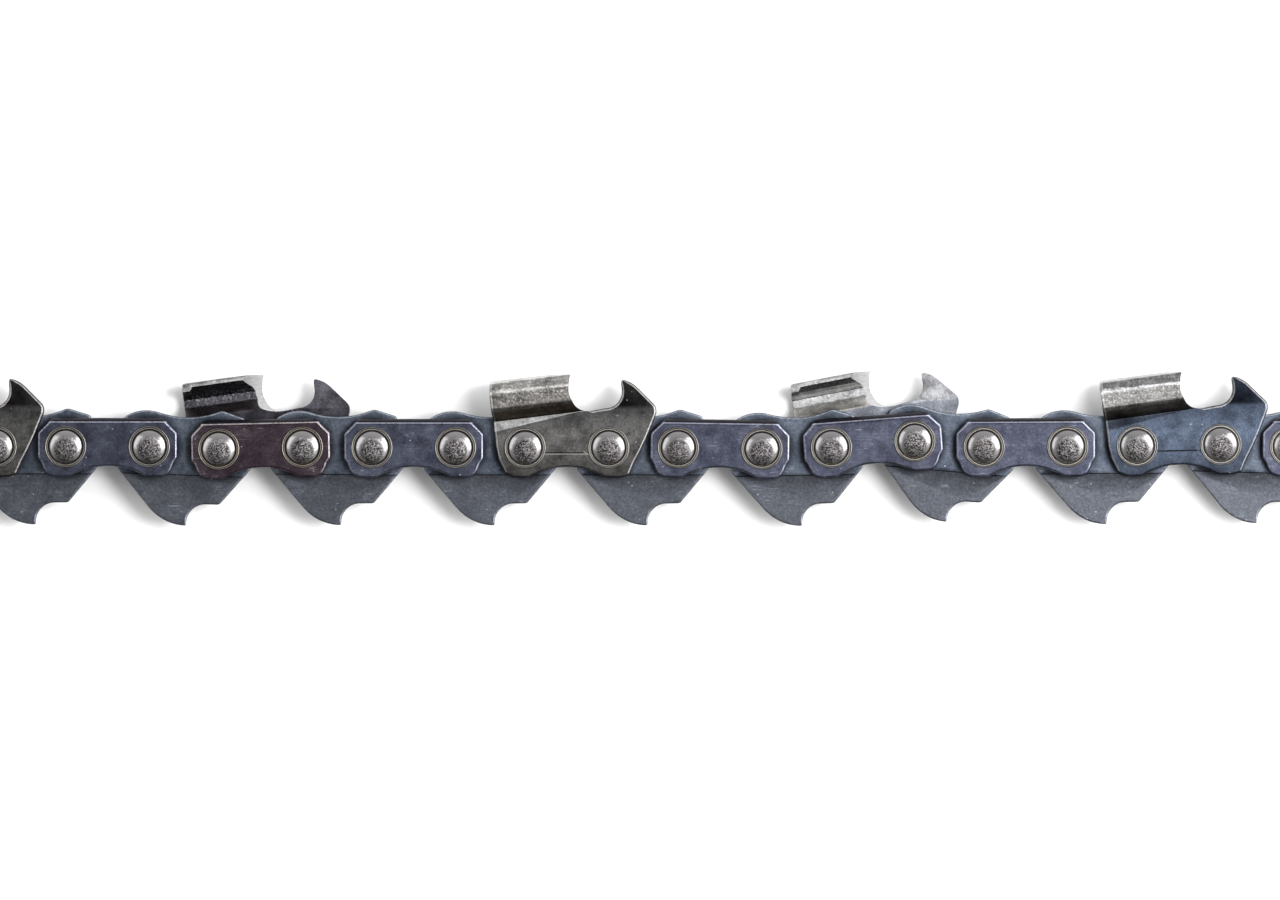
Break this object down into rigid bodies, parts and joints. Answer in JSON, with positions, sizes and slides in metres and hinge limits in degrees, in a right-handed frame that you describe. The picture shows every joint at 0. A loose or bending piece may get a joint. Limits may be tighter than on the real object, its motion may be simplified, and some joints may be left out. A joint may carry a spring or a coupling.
{
  "type": "saw chain",
  "caption": "Length of saw chain: chisel cutters with depth gauges on alternate sides, tie straps and tanged drive links, all turning on peened rivets.",
  "frame": {"origin": "centre of the open rear hole of the first drive link, on the chain's centre plane", "axes": "+X the way the chain runs, +Y out of the cutting side, +Z along the rivets out of the right-hand side plates"},
  "size_m": [0.207, 0.0193, 0.008],
  "materials": {
    "link_steel": "hardened slate grey steel, mottled by heat treatment, worn brighter along its edges",
    "blued_strap_steel": "dark blued steel, satin, with bright rubbed edges",
    "browned_strap_steel": "dark brown tempered steel, satin",
    "grey_cutter_steel": "warm grey steel under a thin satin hard plating, ground face bright",
    "blued_cutter_steel": "blue grey steel under a thin satin hard plating, ground face bright",
    "plated_cutter_steel": "pale satin hard plated steel, ground face bright",
    "rivet_steel": "bright steel, peened heads"
  },
  "bodies": {
    "link_01": {"drive_link_01": "link_steel"},
    "station_01": {"right_cutter_01": "grey_cutter_steel", "left_tie_strap_01": "blued_strap_steel", "rivet_01": "rivet_steel", "rivet_02": "rivet_steel"},
    "link_02": {"drive_link_02": "link_steel"},
    "station_02": {"right_tie_strap_02": "blued_strap_steel", "left_tie_strap_02": "blued_strap_steel", "rivet_03": "rivet_steel", "rivet_04": "rivet_steel"},
    "link_03": {"drive_link_03": "link_steel"},
    "station_03": {"right_tie_strap_03": "browned_strap_steel", "left_cutter_03": "plated_cutter_steel", "rivet_05": "rivet_steel", "rivet_06": "rivet_steel"},
    "link_04": {"drive_link_04": "link_steel"},
    "station_04": {"right_tie_strap_04": "blued_strap_steel", "left_tie_strap_04": "blued_strap_steel", "rivet_07": "rivet_steel", "rivet_08": "rivet_steel"},
    "link_05": {"drive_link_05": "link_steel"},
    "station_05": {"right_cutter_05": "grey_cutter_steel", "left_tie_strap_05": "blued_strap_steel", "rivet_09": "rivet_steel", "rivet_10": "rivet_steel"},
    "link_06": {"drive_link_06": "link_steel"},
    "station_06": {"right_tie_strap_06": "blued_strap_steel", "left_tie_strap_06": "blued_strap_steel", "rivet_11": "rivet_steel", "rivet_12": "rivet_steel"},
    "link_07": {"drive_link_07": "link_steel"},
    "station_07": {"right_tie_strap_07": "blued_strap_steel", "left_cutter_07": "plated_cutter_steel", "rivet_13": "rivet_steel", "rivet_14": "rivet_steel"},
    "link_08": {"drive_link_08": "link_steel"},
    "station_08": {"right_tie_strap_08": "blued_strap_steel", "left_tie_strap_08": "blued_strap_steel", "rivet_15": "rivet_steel", "rivet_16": "rivet_steel"},
    "link_09": {"drive_link_09": "link_steel"},
    "station_09": {"right_cutter_09": "blued_cutter_steel", "left_tie_strap_09": "blued_strap_steel", "rivet_17": "rivet_steel", "rivet_18": "rivet_steel"},
    "link_10": {"drive_link_10": "link_steel"},
    "station_10": {"right_tie_strap_10": "blued_strap_steel", "left_tie_strap_10": "blued_strap_steel", "rivet_19": "rivet_steel", "rivet_20": "rivet_steel"},
    "link_11": {"drive_link_11": "link_steel"}
  },
  "joints": [
    {"name": "rivet_joint_01", "type": "hinge", "parent": "link_01", "child": "station_01", "pos_m": [0.00865, 0, 0], "axis": [0, 0, -1], "range_deg": [-12, 16.36]},
    {"name": "rivet_joint_02", "type": "hinge", "parent": "station_01", "child": "link_02", "pos_m": [0.01905, 0, 0], "axis": [0, 0, -1], "range_deg": [-3, 16.36]},
    {"name": "rivet_joint_03", "type": "hinge", "parent": "link_02", "child": "station_02", "pos_m": [0.0277, 0, 0], "axis": [0, 0, -1], "range_deg": [-12, 16.36]},
    {"name": "rivet_joint_04", "type": "hinge", "parent": "station_02", "child": "link_03", "pos_m": [0.0381, 0, 0], "axis": [0, 0, -1], "range_deg": [-14, 14.36]},
    {"name": "rivet_joint_05", "type": "hinge", "parent": "link_03", "child": "station_03", "pos_m": [0.04674, -0.0003, 0], "axis": [0, 0, -1], "range_deg": [-8.7, 19.66]},
    {"name": "rivet_joint_06", "type": "hinge", "parent": "station_03", "child": "link_04", "pos_m": [0.05714, -0.00007, 0], "axis": [0, 0, -1], "range_deg": [-4.7, 14.66]},
    {"name": "rivet_joint_07", "type": "hinge", "parent": "link_04", "child": "station_04", "pos_m": [0.06579, -0.00013, 0], "axis": [0, 0, -1], "range_deg": [-11.6, 16.76]},
    {"name": "rivet_joint_08", "type": "hinge", "parent": "station_04", "child": "link_05", "pos_m": [0.07619, -0.00013, 0], "axis": [0, 0, -1], "range_deg": [-12, 16.36]},
    {"name": "rivet_joint_09", "type": "hinge", "parent": "link_05", "child": "station_05", "pos_m": [0.08484, -0.00013, 0], "axis": [0, 0, -1], "range_deg": [-12, 16.36]},
    {"name": "rivet_joint_10", "type": "hinge", "parent": "station_05", "child": "link_06", "pos_m": [0.09524, -0.00013, 0], "axis": [0, 0, -1], "range_deg": [-3, 16.36]},
    {"name": "rivet_joint_11", "type": "hinge", "parent": "link_06", "child": "station_06", "pos_m": [0.10389, -0.00013, 0], "axis": [0, 0, -1], "range_deg": [-12.9, 15.46]},
    {"name": "rivet_joint_12", "type": "hinge", "parent": "station_06", "child": "link_07", "pos_m": [0.11429, -0.00029, 0], "axis": [0, 0, -1], "range_deg": [-9.9, 18.46]},
    {"name": "rivet_joint_13", "type": "hinge", "parent": "link_07", "child": "station_07", "pos_m": [0.12294, -0.00011, 0], "axis": [0, 0, -1], "range_deg": [-8.8, 19.56]},
    {"name": "rivet_joint_14", "type": "hinge", "parent": "station_07", "child": "link_08", "pos_m": [0.13331, 0.00069, 0], "axis": [0, 0, -1], "range_deg": [-12.3, 7.06]},
    {"name": "rivet_joint_15", "type": "hinge", "parent": "link_08", "child": "station_08", "pos_m": [0.14193, -0.00005, 0], "axis": [0, 0, -1], "range_deg": [-6.8, 21.56]},
    {"name": "rivet_joint_16", "type": "hinge", "parent": "station_08", "child": "link_09", "pos_m": [0.15233, 0, 0], "axis": [0, 0, -1], "range_deg": [-11.9, 16.46]},
    {"name": "rivet_joint_17", "type": "hinge", "parent": "link_09", "child": "station_09", "pos_m": [0.16098, 0.00007, 0], "axis": [0, 0, -1], "range_deg": [-11.3, 17.06]},
    {"name": "rivet_joint_18", "type": "hinge", "parent": "station_09", "child": "link_10", "pos_m": [0.17137, 0.00026, 0], "axis": [0, 0, -1], "range_deg": [-5.7, 13.66]},
    {"name": "rivet_joint_19", "type": "hinge", "parent": "link_10", "child": "station_10", "pos_m": [0.18002, 0.00002, 0], "axis": [0, 0, -1], "range_deg": [-10.4, 17.96]},
    {"name": "rivet_joint_20", "type": "hinge", "parent": "station_10", "child": "link_11", "pos_m": [0.19042, 0.00002, 0], "axis": [0, 0, -1], "range_deg": [-12, 16.36]}
  ]
}
